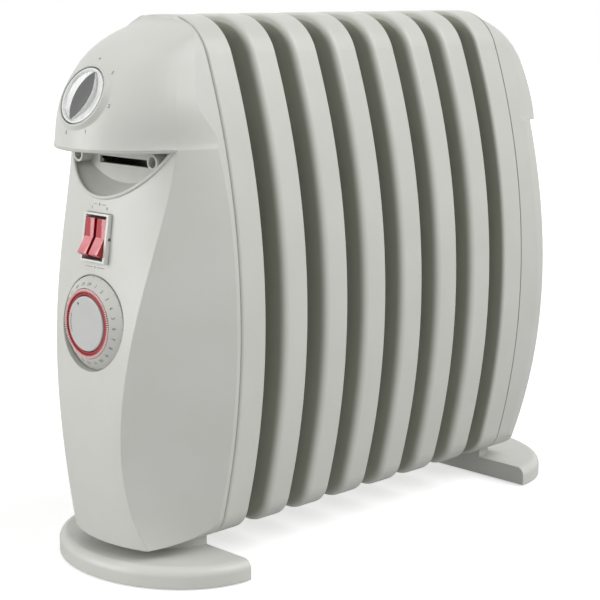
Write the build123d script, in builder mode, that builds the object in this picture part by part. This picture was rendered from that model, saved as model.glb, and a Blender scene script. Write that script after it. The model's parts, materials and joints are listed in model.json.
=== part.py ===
from build123d import *
from math import pi, radians, sqrt, tan
import os

# Oil filled radiator heater: eight steel fins between two plastic end covers, on two feet.
# Millimetres. +Z is up, the control panel faces -Y, and the origin is on the floor under the middle.

# Fin pack
fin_count = 8
fin_pitch = 37.5
fin_depth = 20.5
fin_half_width = 74.1
fin_waist_height = 167.0
fin_top = 357.5
fin_top_half = 34.6
fin_bottom_half = 51.5
fin_top_corner = 37.0
fin_bottom_corner = 22.0
fin_bend = 5.0
seam_bend = 2.7
sheet = 1.0
web = 2.0

# Oil passages
upper_gallery_height = 286.0
lower_gallery_height = 78.0
upper_collar_radius = 20.0
lower_collar_radius = 27.0
collar_wall = 2.0
pocket_half_width = 31.0
pocket_depth = 7.0
cap_thickness = 3.0
filler_hex = 17.0
filler_length = 9.0

# Feet
foot_half_width = 81.5
foot_reach = 68.5
foot_height = 14.4
foot_edge_round = 6.0
foot_wall = 3.4
neck_half_width = 38.5
neck_reach = 34.0
neck_height = 6.6
pad_radius = 7.0
pad_thickness = 1.2
pad_spread = 57.0
pad_inset = 13.0
nose_pad_inset = 53.0
boss_margin = 2.0
foot_screw_spread = 22.0
foot_screw_inset = 17.0

# End covers
cover_gap = 0.8
cover_wall = 2.2
edge_land = 1.5
side_bow = 0.024
visor_height = 80.5
passage_reach = 14.0
recess_half_width = 57.0
recess_drop = 33.0
recess_depth = 24.0
recess_back_half_width = 50.0
recess_back_drop = 24.5
front_recess_reach = 30.0
rear_recess_reach = 16.0
slot_half_width = 26.0
slot_height = 4.5
slot_drop = 8.5
boss_spread = 37.4
boss_drop = 8.0
boss_radius = 5.0
boss_length = 11.2

# Sections of each panel and visor, from the bottom of it to its top: share of its height,
# half width and reach of the crease between its side and its front, and reach at the middle
front_panel = [
    (0.0, 38.0, 48.0, 56.0),
    (0.2, 30.0, 61.0, 63.5),
    (0.4, 33.7, 62.6, 64.4),
    (0.6, 40.9, 56.0, 59.4),
    (0.8, 48.1, 43.4, 53.2),
    (1.0, 53.0, 31.8, 43.5),
]
rear_panel = [
    (0.0, 50.0, 20.0, 28.0),
    (0.25, 65.5, 27.0, 36.5),
    (0.5, 72.5, 28.3, 38.0),
    (0.75, 70.0, 27.5, 36.5),
    (1.0, 60.0, 24.0, 31.0),
]
front_visor = [
    (0.0, 53.0, 31.8, 72.2),
    (0.22, 52.2, 31.6, 69.4),
    (0.45, 48.6, 28.0, 62.8),
    (0.62, 44.3, 21.5, 53.5),
    (0.765, 39.8, 13.5, 40.0),
    (0.87, 32.5, 6.5, 23.5),
    (0.99, 12.0, 1.0, 3.0),
]
rear_visor = [
    (0.0, 57.0, 33.0, 50.0),
    (0.21, 54.2, 32.0, 48.0),
    (0.42, 50.0, 29.5, 44.8),
    (0.615, 45.0, 25.0, 38.5),
    (0.77, 39.7, 17.0, 29.0),
    (0.88, 32.0, 8.7, 17.5),
    (0.99, 12.0, 1.2, 3.0),
]

# Brackets and fasteners
bracket_thickness = 1.5
bracket_inset = 15.0
bracket_flange_half = 32.0
bracket_flange_reach = 21.0
post_radius = 4.5
bracket_screw_spread = 48.0
bracket_screw_heights = (126.0, 236.0)
screw_radius = 1.75
screw_head_radius = 3.1
screw_head = 2.2
screw_length = 11.0
screw_clearance = 0.05

# Thermostat
knob_radius = 18.35
knob_tilt = 26.0
knob_rise = 33.0
knob_thickness = 5.2
knob_pocket_gap = 0.9
knob_proud = -1.3
knob_collar_wall = 1.3
knob_collar_flare = 3.5
knob_collar_depth = 4.5
knob_seat_wall = 3.0
knob_rim = 1.6
grip_angle = 14.0
grip_half_width = 6.6
grip_thickness = 0.9
scoop_depth = 3.4
spindle_radius = 3.0
spindle_bore = 12.0
knob_socket = 3.4
thermostat_width = 32.0
thermostat_length = 28.0
thermostat_depth = 16.0
run_clearance = 0.05
moving_gap = 0.3

# Twin rocker switch
switch_drop = 57.0
switch_tilt = 9.0
switch_proud = 2.4
bezel_width = 25.0
bezel_length = 31.0
bezel_thickness = 3.2
switch_width = 22.0
switch_length = 29.6
switch_wall = 0.7
switch_depth = 20.0
seat_gap = 0.3
rocker_gap = 0.35
rocker_parting = 1.4
rocker_radius = 12.4
rocker_crown = 2.2
rocker_slope = 11.0
rocker_end_height = 4.7
rocker_pivot_depth = 2.5
rocker_keel = 9.0
pin_radius = 1.0
blade_width = 5.0
blade_thickness = 0.8
blade_length = 9.0
lamp_radius = 1.6
lamp_length = 9.0

# Mechanical timer
timer_drop = 110.8
timer_tilt = 2.0
timer_radius = 29.8
timer_pocket_gap = 0.9
timer_pocket_depth = 4.2
timer_seat_wall = 2.6
dial_rim_height = -2.3
dial_crown_height = 3.6
dial_web = 1.6
tab_count = 96
tab_groups = 4
tab_inner_radius = 19.6
tab_length = 2.6
tab_width = 0.8
tab_height = 3.0
tab_proud = 0.4
ring_width = 1.1
cap_rise = 4.6
cap_round = 1.0
hub_radius = 8.0
gear_module = 0.8
gear_teeth = 48
pinion_teeth = 12
gear_face = 4.0
gear_dedendum = 1.2
gear_addendum = 0.85
gear_pressure_angle = 20.0
tooth_overlap = 0.08
gear_bore_wall = 2.5
backlash = 0.3
timer_case_radius = 32.6
timer_case_wall = 2.0
timer_case_depth = 26.0
motor_radius = 17.0
motor_length = 11.0
motor_offset = 11.0
arbor_radius = 1.5
contact_size = 9.0

# Heating elements and their wiring
element_radius = 4.0
element_spread = 9.0
element_tail = 6.0
element_end_gap = 14.0
plug_hex = 46.0
plug_flange = 3.0
plug_head = 8.0
neck_length = 11.0
gasket_thickness = 2.0
stud_radius = 1.6
stud_length = 9.0
cutout_radius = 8.5
cutout_thickness = 7.0
cutout_height = 178.0
block_width = 42.0
block_tall = 14.0
block_depth = 15.0
block_height = 118.0
bush_bore = 4.0
bush_wall = 2.2
bush_lip = 2.2
bush_lip_thickness = 1.4
bush_height = 74.0
bush_reach = 31.0

# Derived places
pack_half = ((fin_count - 1) * fin_pitch + fin_depth) / 2
cover_plane = pack_half + cover_gap
foot_bottom = pad_thickness
cover_bottom = foot_height + neck_height
visor_bottom = fin_top - visor_height
switch_height = visor_bottom - switch_drop
timer_height = visor_bottom - timer_drop
boss_height = visor_bottom - boss_drop
panel_height = visor_bottom - cover_bottom
side_arc = ThreePointArc(
    (fin_bottom_half, cover_bottom), (fin_half_width, fin_waist_height), (fin_top_half, fin_top)
)
side_center = side_arc.arc_center
side_radius = side_arc.radius
corner_height = fin_top - fin_top_corner
corner_orbit = side_radius - fin_top_corner
corner_x = side_center.X + sqrt(corner_orbit ** 2 - (corner_height - side_center.Y) ** 2)
corner_start = side_center.Y + (corner_height - side_center.Y) * side_radius / corner_orbit

os.makedirs("parts", exist_ok=True)


def save(part, name):
    part.label = name
    export_step(part, "parts/" + name + ".step")


def barrel_half(height):
    # half width of the fin outline, with its rounded top corners
    if height > corner_start:
        return corner_x + sqrt(fin_top_corner ** 2 - (height - corner_height) ** 2)
    return side_center.X + sqrt(side_radius ** 2 - (height - side_center.Y) ** 2)


def section_at(sections, share):
    # crease half width, crease reach and middle reach, on straight runs between the sections
    for near, far in zip(sections, sections[1:]):
        if share <= far[0]:
            run = (share - near[0]) / (far[0] - near[0])
            return [low + (high - low) * run for low, high in zip(near[1:], far[1:])]
    return sections[-1][1:]


def front_at(reach):
    # upright plane facing -Y, at a reach from the middle of the heater
    return Plane((0, -reach, 0), x_dir=(1, 0, 0), z_dir=(0, -1, 0))


def tilted_at(reach, height, tilt):
    # plane facing -Y and leaning back by the tilt
    upright = Plane((0, -reach, height), x_dir=(1, 0, 0), z_dir=(0, -1, 0))
    return upright.rotated((-tilt, 0, 0))


def barrel(inset=0.0):
    # outline that the fins and the covers share
    with BuildSketch() as outline:
        with BuildLine():
            Line((-fin_bottom_half, cover_bottom), (fin_bottom_half, cover_bottom))
            ThreePointArc(
                (fin_bottom_half, cover_bottom), (fin_half_width, fin_waist_height), (fin_top_half, fin_top)
            )
            Line((fin_top_half, fin_top), (-fin_top_half, fin_top))
            ThreePointArc(
                (-fin_top_half, fin_top),
                (-fin_half_width, fin_waist_height),
                (-fin_bottom_half, cover_bottom),
            )
        make_face()
        fillet(outline.vertices().group_by(Axis.Y)[-1], fin_top_corner)
        fillet(outline.vertices().group_by(Axis.Y)[0], fin_bottom_corner)
        if inset:
            offset(amount=-inset, kind=Kind.INTERSECTION)
    return outline.sketch


# Fins: a pressed tray with an oil pocket welded to the back of its web


def fin(front, bolted):
    pocket_length = upper_gallery_height - lower_gallery_height
    middle = (upper_gallery_height + lower_gallery_height) / 2
    with BuildPart() as hollow:
        with BuildSketch(front_at(-front - web)):
            add(barrel(sheet))
        extrude(amount=-fin_depth)
        if not bolted:
            fillet(hollow.faces().sort_by(Axis.Y)[0].edges(), fin_bend - web)
    with BuildPart() as tray:
        with BuildSketch(front_at(-front)):
            add(barrel())
        extrude(amount=-fin_depth)
        # the end fins bend tighter, so their seams to the covers stay narrow
        fillet(tray.faces().sort_by(Axis.Y)[0].edges(), seam_bend if bolted else fin_bend)
        add(hollow.part, mode=Mode.SUBTRACT)
        with BuildSketch(front_at(-front - web)):
            with Locations((0, middle)):
                SlotCenterToCenter(pocket_length, 2 * pocket_half_width, rotation=90)
        extrude(amount=-pocket_depth)
        with BuildSketch(front_at(-front - sheet)):
            with Locations((0, middle)):
                SlotCenterToCenter(pocket_length, 2 * (pocket_half_width - sheet), rotation=90)
        extrude(amount=-(web + pocket_depth - 2 * sheet), mode=Mode.SUBTRACT)
        with BuildSketch(front_at(-front)):
            with Locations((0, upper_gallery_height)):
                Circle(upper_collar_radius - collar_wall)
            with Locations((0, lower_gallery_height)):
                Circle(lower_collar_radius - collar_wall)
        extrude(amount=-(web + pocket_depth), mode=Mode.SUBTRACT)
        if bolted:
            with BuildSketch(front_at(-front)):
                for height in bracket_screw_heights:
                    with Locations((bracket_screw_spread, height), (-bracket_screw_spread, height)):
                        Circle(screw_radius + screw_clearance)
            extrude(amount=-web, mode=Mode.SUBTRACT)
    return tray.part


fin_fronts = [-pack_half + fin_pitch * index for index in range(fin_count)]
for index, front in enumerate(fin_fronts):
    save(fin(front, index in (0, fin_count - 1)), "fin_" + str(index + 1))


def collars(radius, height):
    # one welded ring in each gap, from a pocket's back to the next web
    with BuildPart() as rings:
        for front in fin_fronts[:-1]:
            with BuildSketch(front_at(-front - web - pocket_depth)):
                with Locations((0, height)):
                    Circle(radius)
                    Circle(radius - collar_wall, mode=Mode.SUBTRACT)
            extrude(amount=-(fin_pitch - web - pocket_depth))
    return rings.part


save(collars(upper_collar_radius, upper_gallery_height), "upper_collars")
save(collars(lower_collar_radius, lower_gallery_height), "lower_collars")

# Caps that close the two oil galleries
rear_pocket = fin_fronts[-1] + web + pocket_depth

with BuildPart() as front_cap:
    with BuildSketch(front_at(pack_half)):
        with Locations((0, upper_gallery_height)):
            Circle(upper_collar_radius)
    extrude(amount=cap_thickness)
save(front_cap.part, "upper_front_cap")

with BuildPart() as rear_cap:
    with BuildSketch(front_at(-rear_pocket)):
        with Locations((0, upper_gallery_height)):
            Circle(upper_collar_radius)
            Circle(filler_hex / 4 + screw_clearance, mode=Mode.SUBTRACT)
    extrude(amount=-cap_thickness)
save(rear_cap.part, "upper_rear_cap")

with BuildPart() as lower_cap:
    with BuildSketch(front_at(-rear_pocket)):
        with Locations((0, lower_gallery_height)):
            Circle(lower_collar_radius)
    extrude(amount=-cap_thickness)
save(lower_cap.part, "lower_rear_cap")

with BuildPart() as filler:
    with BuildSketch(front_at(-rear_pocket - cap_thickness)):
        with Locations((0, upper_gallery_height)):
            RegularPolygon(filler_hex / 2, 6, major_radius=False)
    extrude(amount=-filler_length / 2)
    with BuildSketch(front_at(-rear_pocket)):
        with Locations((0, upper_gallery_height)):
            Circle(filler_hex / 4)
    extrude(amount=-cap_thickness)
save(filler.part, "oil_filler_plug")

# Feet: hollow D shaped plates with a neck under the cover


def half_ellipse(half_width, reach, height, thickness, back=0.0):
    # D shaped plate, flat towards the fins and bulging towards -Y
    with BuildPart() as plate:
        with BuildSketch(Plane.XY.offset(height)):
            with Locations((0, -pack_half)):
                Ellipse(half_width, reach)
        extrude(amount=thickness)
        split(bisect_by=front_at(pack_half + back), keep=Keep.TOP)
    return plate.part


pad_places = [
    (pad_spread, -pack_half - pad_inset),
    (-pad_spread, -pack_half - pad_inset),
    (0, -pack_half - nose_pad_inset),
]
foot_screw_places = [(side * foot_screw_spread, -pack_half - foot_screw_inset) for side in (1, -1)]


def foot():
    hollow_half = foot_half_width - foot_edge_round - foot_wall
    hollow_reach = foot_reach - foot_edge_round - foot_wall
    hollow_height = foot_height - foot_bottom - foot_wall
    with BuildPart() as body:
        with BuildSketch(Plane.XY.offset(foot_bottom)):
            with Locations((0, -pack_half)):
                Ellipse(foot_half_width, foot_reach)
        extrude(amount=foot_height - foot_bottom)
        fillet(body.faces().sort_by(Axis.Z)[-1].edges(), foot_edge_round)
        split(bisect_by=front_at(pack_half), keep=Keep.TOP)
        hollow = half_ellipse(hollow_half, hollow_reach, foot_bottom, hollow_height, foot_wall)
        add(hollow, mode=Mode.SUBTRACT)
        add(half_ellipse(neck_half_width, neck_reach, foot_height, neck_height))
        with BuildSketch(Plane.XY.offset(foot_bottom)):
            with Locations(*pad_places):
                Circle(pad_radius + boss_margin)
            with Locations(*foot_screw_places):
                Circle(screw_head_radius + 2 * boss_margin)
        extrude(amount=foot_height - foot_bottom - foot_edge_round / 2)
        with BuildSketch(Plane.XY.offset(foot_bottom)):
            with Locations(*foot_screw_places):
                Circle(screw_head_radius + moving_gap)
        extrude(amount=foot_height - foot_bottom, mode=Mode.SUBTRACT)
        with BuildSketch(Plane.XY.offset(foot_bottom)):
            with Locations(*foot_screw_places):
                Circle(screw_radius + screw_clearance)
        extrude(amount=cover_bottom, mode=Mode.SUBTRACT)
    return body.part


def pads():
    with BuildPart() as rubber:
        with BuildSketch():
            with Locations(*pad_places):
                Circle(pad_radius)
        extrude(amount=pad_thickness)
    return rubber.part


front_foot = foot()
save(front_foot, "front_foot")
save(mirror(front_foot, about=Plane.XZ), "rear_foot")

front_pads = pads()
with BuildPart() as foot_pads:
    add(front_pads)
    add(mirror(front_pads, about=Plane.XZ, mode=Mode.PRIVATE))
save(foot_pads.part, "foot_pads")

# End covers, both built facing -Y; the rear one is then mirrored


def shell_body(sections, bottom, height, inset):
    # solid within the fin outline, lofted through sections with two creases
    behind = -pack_half + fin_depth
    with BuildPart() as body:
        for share, half, reach, nose in sections:
            level = bottom + share * height
            edge = barrel_half(level) + edge_land
            crease = -cover_plane - reach
            bulge = side_bow * sqrt((edge - half) ** 2 + reach ** 2)
            if share == 0.0:
                level = level + inset
            else:
                level = level - inset * share
            with BuildSketch(Plane.XY.offset(level)):
                with BuildLine():
                    ThreePointArc((half, crease), (0, -cover_plane - nose), (-half, crease))
                    SagittaArc((-half, crease), (-edge, -cover_plane), bulge)
                    Polyline((-edge, -cover_plane), (-edge, behind), (edge, behind), (edge, -cover_plane))
                    SagittaArc((edge, -cover_plane), (half, crease), bulge)
                make_face()
                if inset:
                    offset(amount=-inset, kind=Kind.INTERSECTION)
        loft()
        with BuildSketch(front_at(cover_plane)):
            add(barrel(inset))
        extrude(amount=height, mode=Mode.INTERSECT)
    return body.part


def recess_body(back_reach, grow):
    # smile shaped hollow under the visor, narrowing towards its back
    stations = [
        (cover_plane + back_reach - grow, recess_back_half_width, recess_back_drop),
        (cover_plane + back_reach + recess_depth, recess_half_width, recess_drop),
    ]
    with BuildPart() as hollow:
        for reach, half, drop in stations:
            with BuildSketch(front_at(reach)):
                with BuildLine():
                    bow = ThreePointArc(
                        (half + grow, visor_bottom),
                        (0, visor_bottom - drop - grow),
                        (-half - grow, visor_bottom),
                    )
                    Line(bow @ 1, bow @ 0)
                make_face()
        loft()
    return hollow.part


boss_places = [(boss_spread, boss_height), (-boss_spread, boss_height)]


def cover(panel, visor, back_reach):
    wall_front = cover_plane + back_reach
    wall_back = wall_front - cover_wall
    passage_width = 2 * (barrel_half(visor_bottom) - 3 * cover_wall)
    outer_panel = shell_body(panel, cover_bottom, panel_height, 0.0)
    outer_visor = shell_body(visor, visor_bottom, visor_height, 0.0)
    with BuildPart() as shell:
        add(outer_panel)
        add(outer_visor)
        add(shell_body(panel, cover_bottom, panel_height, cover_wall), mode=Mode.SUBTRACT)
        add(shell_body(visor, visor_bottom, visor_height, cover_wall), mode=Mode.SUBTRACT)
        with BuildSketch(Plane.XY.offset(visor_bottom)):
            with Locations((0, -cover_plane)):
                Rectangle(passage_width, 2 * passage_reach)
        extrude(amount=2 * cover_wall, both=True, mode=Mode.SUBTRACT)
    with BuildPart() as recess_wall:
        add(recess_body(back_reach, cover_wall))
        add(outer_panel, mode=Mode.INTERSECT)
    with BuildPart() as whole:
        add(shell.part)
        add(recess_wall.part)
        add(recess_body(back_reach, 0.0), mode=Mode.SUBTRACT)
        with BuildSketch(front_at(wall_back)):
            with Locations(*boss_places):
                Circle(boss_radius)
        extrude(amount=boss_length)
        with BuildSketch(front_at(wall_front)):
            with Locations(*boss_places):
                Circle(screw_head_radius + moving_gap)
        extrude(amount=boss_length, mode=Mode.SUBTRACT)
        with BuildSketch(front_at(wall_back)):
            with Locations(*boss_places):
                Circle(screw_radius + screw_clearance)
            with Locations((0, visor_bottom - slot_drop - slot_height / 2)):
                Rectangle(2 * slot_half_width, slot_height)
        extrude(amount=cover_wall, mode=Mode.SUBTRACT)
        with BuildSketch(Plane.XY.offset(cover_bottom)):
            with Locations(*foot_screw_places):
                Circle(screw_radius + screw_clearance)
        extrude(amount=cover_wall, mode=Mode.SUBTRACT)
    return whole.part, outer_panel, outer_visor


front_shell, front_outer, visor_outer = cover(front_panel, front_visor, front_recess_reach)
rear_shell = cover(rear_panel, rear_visor, rear_recess_reach)[0]
save(mirror(rear_shell, about=Plane.XZ), "rear_cover")

# Seats on the front cover for the knob, the switch, the timer and the cord bush
knob_height = visor_bottom + knob_rise
knob_seat_depth = knob_thickness + moving_gap


def panel_at(height):
    return section_at(front_panel, (height - cover_bottom) / panel_height)


knob_reach = cover_plane + section_at(front_visor, knob_rise / visor_height)[2]
knob_face = tilted_at(knob_reach, knob_height, knob_tilt).offset(knob_proud)
switch_face = tilted_at(cover_plane + panel_at(switch_height)[2], switch_height, switch_tilt)
switch_face = switch_face.offset(switch_proud)
timer_face = tilted_at(cover_plane + panel_at(timer_height)[2], timer_height, timer_tilt)
gear_radius = gear_module * gear_teeth / 2
pinion_radius = gear_module * pinion_teeth / 2
gear_hole = gear_radius + gear_module + 2 * moving_gap
bush_edge = barrel_half(bush_height) + edge_land
bush_crease, bush_crease_reach, _ = panel_at(bush_height)
bush_taper = (bush_edge - bush_crease) / bush_crease_reach
bush_face = Plane(
    (bush_taper * bush_reach - bush_edge, -cover_plane - bush_reach, bush_height),
    x_dir=(0, 0, 1), z_dir=(-1, -bush_taper, 0),
).offset(side_bow * bush_crease_reach)
bush_radius = bush_bore + bush_wall

with BuildPart() as knob_seat:
    with BuildSketch(knob_face.offset(-knob_seat_depth - knob_seat_wall)):
        Circle(knob_radius + knob_pocket_gap + cover_wall)
    extrude(amount=knob_seat_wall + knob_seat_depth)
    add(visor_outer, mode=Mode.INTERSECT)

# Collar that brings the visor up to the knob's rim at its sides
collar_radius = knob_radius + knob_pocket_gap + knob_collar_wall
with BuildPart() as knob_collar:
    with BuildSketch(knob_face.offset(-knob_collar_depth)):
        Circle(collar_radius + knob_collar_flare)
    with BuildSketch(knob_face):
        Circle(collar_radius)
    loft(ruled=True)

with BuildPart() as switch_seat:
    with BuildSketch(switch_face.offset(-bezel_thickness - cover_wall)):
        Rectangle(bezel_width + 2 * cover_wall, bezel_length + 2 * cover_wall)
    extrude(amount=cover_wall + bezel_thickness)
    add(front_outer, mode=Mode.INTERSECT)

with BuildPart() as timer_seat:
    with BuildSketch(timer_face.offset(-timer_pocket_depth - timer_seat_wall)):
        Circle(timer_radius + timer_pocket_gap + cover_wall)
    extrude(amount=timer_seat_wall + timer_pocket_depth)
    add(front_outer, mode=Mode.INTERSECT)

with BuildPart() as bush_seat:
    with BuildSketch(bush_face.offset(-bush_lip_thickness - cover_wall)):
        Circle(bush_radius + bush_lip + cover_wall)
    extrude(amount=bush_lip_thickness + cover_wall)
    add(front_outer, mode=Mode.INTERSECT)

with BuildPart() as front_cover:
    add(front_shell)
    add(knob_seat.part)
    add(knob_collar.part)
    add(switch_seat.part)
    add(timer_seat.part)
    add(bush_seat.part)
    with BuildSketch(knob_face.offset(-knob_seat_depth)):
        Circle(knob_radius + knob_pocket_gap)
    extrude(amount=knob_radius, mode=Mode.SUBTRACT)
    with BuildSketch(knob_face.offset(-knob_seat_depth)):
        Circle(spindle_radius + 3 * moving_gap)
    extrude(amount=-knob_seat_wall, mode=Mode.SUBTRACT)
    with BuildSketch(switch_face.offset(-bezel_thickness)):
        Rectangle(bezel_width + 2 * seat_gap, bezel_length + 2 * seat_gap)
    extrude(amount=bezel_length, mode=Mode.SUBTRACT)
    with BuildSketch(switch_face.offset(-bezel_thickness)):
        Rectangle(switch_width + 2 * seat_gap, switch_length + 2 * seat_gap)
    extrude(amount=-switch_depth, mode=Mode.SUBTRACT)
    with BuildSketch(timer_face.offset(-timer_pocket_depth)):
        Circle(timer_radius + timer_pocket_gap)
    extrude(amount=timer_radius, mode=Mode.SUBTRACT)
    with BuildSketch(timer_face.offset(-timer_pocket_depth)):
        Circle(gear_hole)
    extrude(amount=-timer_seat_wall, mode=Mode.SUBTRACT)
    with BuildSketch(bush_face.offset(-bush_lip_thickness)):
        Circle(bush_radius + bush_lip + screw_clearance)
    extrude(amount=bush_reach, mode=Mode.SUBTRACT)
    with BuildSketch(bush_face.offset(-bush_lip_thickness)):
        Circle(bush_radius + screw_clearance)
    extrude(amount=-cover_wall, mode=Mode.SUBTRACT)
save(front_cover.part, "front_cover")

with BuildPart() as bush:
    with BuildSketch(bush_face.offset(-bush_lip_thickness)):
        Circle(bush_radius + bush_lip)
        Circle(bush_bore, mode=Mode.SUBTRACT)
    extrude(amount=bush_lip_thickness)
    with BuildSketch(bush_face.offset(-bush_lip_thickness)):
        Circle(bush_radius)
        Circle(bush_bore, mode=Mode.SUBTRACT)
    extrude(amount=-cover_wall - bush_lip_thickness)
    with BuildSketch(bush_face.offset(-bush_lip_thickness - cover_wall)):
        Circle(bush_radius + bush_lip / 2)
        Circle(bush_bore, mode=Mode.SUBTRACT)
    extrude(amount=-bush_lip_thickness)
save(bush.part, "cord_bush")

# Brackets that tie the covers and feet to the end fins


def bracket(back, back_reach):
    # plate on an end fin's web, posts for the cover and a flange for the foot
    post_front = cover_plane + back_reach - cover_wall
    with BuildPart() as frame:
        with BuildSketch(front_at(back)):
            add(barrel(bracket_inset))
            with Locations((0, upper_gallery_height)):
                Circle(upper_collar_radius + boss_margin, mode=Mode.SUBTRACT)
            with Locations((0, lower_gallery_height)):
                Circle(pocket_half_width + boss_margin, mode=Mode.SUBTRACT)
            if back < pack_half:
                middle = (upper_gallery_height + lower_gallery_height) / 2
                span = upper_gallery_height - lower_gallery_height
                with Locations((0, middle)):
                    SlotCenterToCenter(
                        span, 2 * (pocket_half_width + boss_margin), rotation=90, mode=Mode.SUBTRACT
                    )
            for height in bracket_screw_heights:
                with Locations((bracket_screw_spread, height), (-bracket_screw_spread, height)):
                    Circle(screw_radius + screw_clearance, mode=Mode.SUBTRACT)
        extrude(amount=bracket_thickness)
        with BuildSketch(Plane.XY.offset(cover_bottom + cover_wall)):
            with Locations((0, -back)):
                flange_reach = cover_plane + bracket_flange_reach - back
                Rectangle(2 * bracket_flange_half, flange_reach, align=(Align.CENTER, Align.MAX))
            with Locations(*foot_screw_places):
                Circle(screw_radius + screw_clearance, mode=Mode.SUBTRACT)
        extrude(amount=bracket_thickness)
        with BuildSketch(front_at(back)):
            with Locations((0, cover_bottom + cover_wall)):
                Rectangle(2 * bracket_flange_half, bracket_inset, align=(Align.CENTER, Align.MIN))
        extrude(amount=bracket_thickness)
        with BuildSketch(front_at(back)):
            with Locations(*boss_places):
                Circle(post_radius)
        extrude(amount=post_front - back)
        with BuildSketch(front_at(post_front)):
            with Locations(*boss_places):
                Circle(screw_radius + screw_clearance)
        extrude(amount=-(screw_length - cover_wall), mode=Mode.SUBTRACT)
    return frame.part


rear_web = fin_fronts[-1] + web
save(bracket(pack_half, front_recess_reach), "front_bracket")
save(mirror(bracket(rear_web, rear_recess_reach), about=Plane.XZ), "rear_bracket")


def screw(head_plane):
    # pan head screw; the plane lies under the head and faces away from the shank
    with BuildPart() as fastener:
        with BuildSketch(head_plane):
            Circle(screw_head_radius)
        extrude(amount=screw_head)
        fillet(fastener.edges().filter_by(GeomType.CIRCLE).sort_by(SortBy.DISTANCE)[-1:], screw_head / 3)
        with BuildSketch(head_plane.offset(screw_head)):
            Rectangle(screw_head_radius, screw_radius / 3)
            Rectangle(screw_radius / 3, screw_head_radius)
        extrude(amount=-screw_head / 2, mode=Mode.SUBTRACT)
        with BuildSketch(head_plane):
            Circle(screw_radius)
        extrude(amount=-screw_length)
    return fastener.part


def fasteners(planes):
    with BuildPart() as group:
        for plane in planes:
            add(screw(plane))
    return group.part


def front_point(x, reach, height):
    # upright plane facing -Y, centred on one point
    return Plane((x, -reach, height), x_dir=(1, 0, 0), z_dir=(0, -1, 0))


def both_ends(front_group, rear_group):
    # fasteners of the front end, with those of the rear end turned to face it
    with BuildPart() as group:
        add(front_group)
        add(mirror(rear_group, about=Plane.XZ, mode=Mode.PRIVATE))
    return group.part


def bracket_fasteners(reach):
    planes = []
    for height in bracket_screw_heights:
        planes.append(front_point(bracket_screw_spread, reach + bracket_thickness, height))
        planes.append(front_point(-bracket_screw_spread, reach + bracket_thickness, height))
    return fasteners(planes)


def cover_fasteners(back_reach):
    return fasteners([front_point(x, cover_plane + back_reach, height) for x, height in boss_places])


foot_fasteners = fasteners(
    [Plane((x, y, foot_height), x_dir=(1, 0, 0), z_dir=(0, 0, -1)) for x, y in foot_screw_places]
)
save(both_ends(cover_fasteners(front_recess_reach), cover_fasteners(rear_recess_reach)), "cover_screws")
save(both_ends(bracket_fasteners(pack_half), bracket_fasteners(rear_web)), "bracket_screws")
save(both_ends(foot_fasteners, foot_fasteners), "foot_screws")

# Thermostat, its spindle and the knob
thermostat_front = knob_face.offset(-knob_seat_depth - knob_seat_wall)
grip_plane = Plane(
    knob_face.origin,
    x_dir=knob_face.y_dir.rotate(Axis((0, 0, 0), knob_face.z_dir), -grip_angle),
    z_dir=knob_face.z_dir,
)


def lens(half_length, half_width):
    # pointed oval of the knob's grip
    with BuildSketch() as shape:
        with BuildLine():
            upper = ThreePointArc((-half_length, 0), (0, half_width), (half_length, 0))
            ThreePointArc(upper @ 1, (0, -half_width), upper @ 0)
        make_face()
    return shape.sketch


with BuildPart() as thermostat:
    with BuildSketch(thermostat_front):
        Rectangle(thermostat_width, thermostat_length)
    extrude(amount=-thermostat_depth)
    fillet(thermostat.edges().filter_by(Axis(knob_face.origin, knob_face.z_dir)), boss_margin)
    with BuildSketch(thermostat_front):
        Circle(spindle_radius + run_clearance)
    extrude(amount=-spindle_bore, mode=Mode.SUBTRACT)
save(thermostat.part, "thermostat_body")

with BuildPart() as spindle:
    with BuildSketch(thermostat_front.offset(moving_gap - spindle_bore)):
        Circle(spindle_radius)
    extrude(amount=spindle_bore + knob_seat_wall + knob_socket)
save(spindle.part, "thermostat_spindle")

scoop_radius = knob_radius - knob_rim
with BuildPart() as knob:
    with BuildSketch(knob_face.offset(-knob_thickness)):
        Circle(knob_radius)
    extrude(amount=knob_thickness)
    with BuildSketch(grip_plane):
        Circle(scoop_radius)
        add(lens(knob_radius, grip_half_width), mode=Mode.SUBTRACT)
    extrude(amount=-scoop_depth, mode=Mode.SUBTRACT)
    with BuildSketch(grip_plane):
        add(lens(scoop_radius + screw_clearance, grip_half_width - knob_rim + screw_clearance))
    extrude(amount=-grip_thickness, mode=Mode.SUBTRACT)
    with BuildSketch(knob_face.offset(-knob_thickness)):
        Circle(spindle_radius + screw_clearance)
    extrude(amount=knob_socket, mode=Mode.SUBTRACT)
save(knob.part, "thermostat_knob")

with BuildPart() as grip:
    with BuildSketch(grip_plane.offset(-grip_thickness)):
        add(lens(scoop_radius, grip_half_width - knob_rim))
    extrude(amount=grip_thickness)
save(grip.part, "knob_grip")

# Twin rocker switch
switch_inner_half = switch_width / 2 - switch_wall
switch_back = switch_face.offset(-switch_depth)
pivot = switch_face.offset(-rocker_pivot_depth)
rocker_plane = Plane(pivot.origin, x_dir=pivot.y_dir, z_dir=(1, 0, 0)).rotated((-rocker_slope, 0, 0))

with BuildPart() as switch_case:
    with BuildSketch(switch_face.offset(-bezel_thickness)):
        Rectangle(bezel_width, bezel_length)
    extrude(amount=bezel_thickness)
    with BuildSketch(switch_back):
        Rectangle(switch_width, switch_length)
    extrude(amount=switch_depth - bezel_thickness)
    with BuildSketch(switch_face):
        Rectangle(switch_width - 2 * switch_wall, switch_length - 2 * switch_wall)
    extrude(amount=-(switch_depth - bezel_thickness), mode=Mode.SUBTRACT)
    with BuildSketch(rocker_plane):
        Circle(pin_radius)
    extrude(amount=switch_width, both=True, mode=Mode.SUBTRACT)
save(switch_case.part, "switch_housing")

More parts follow.
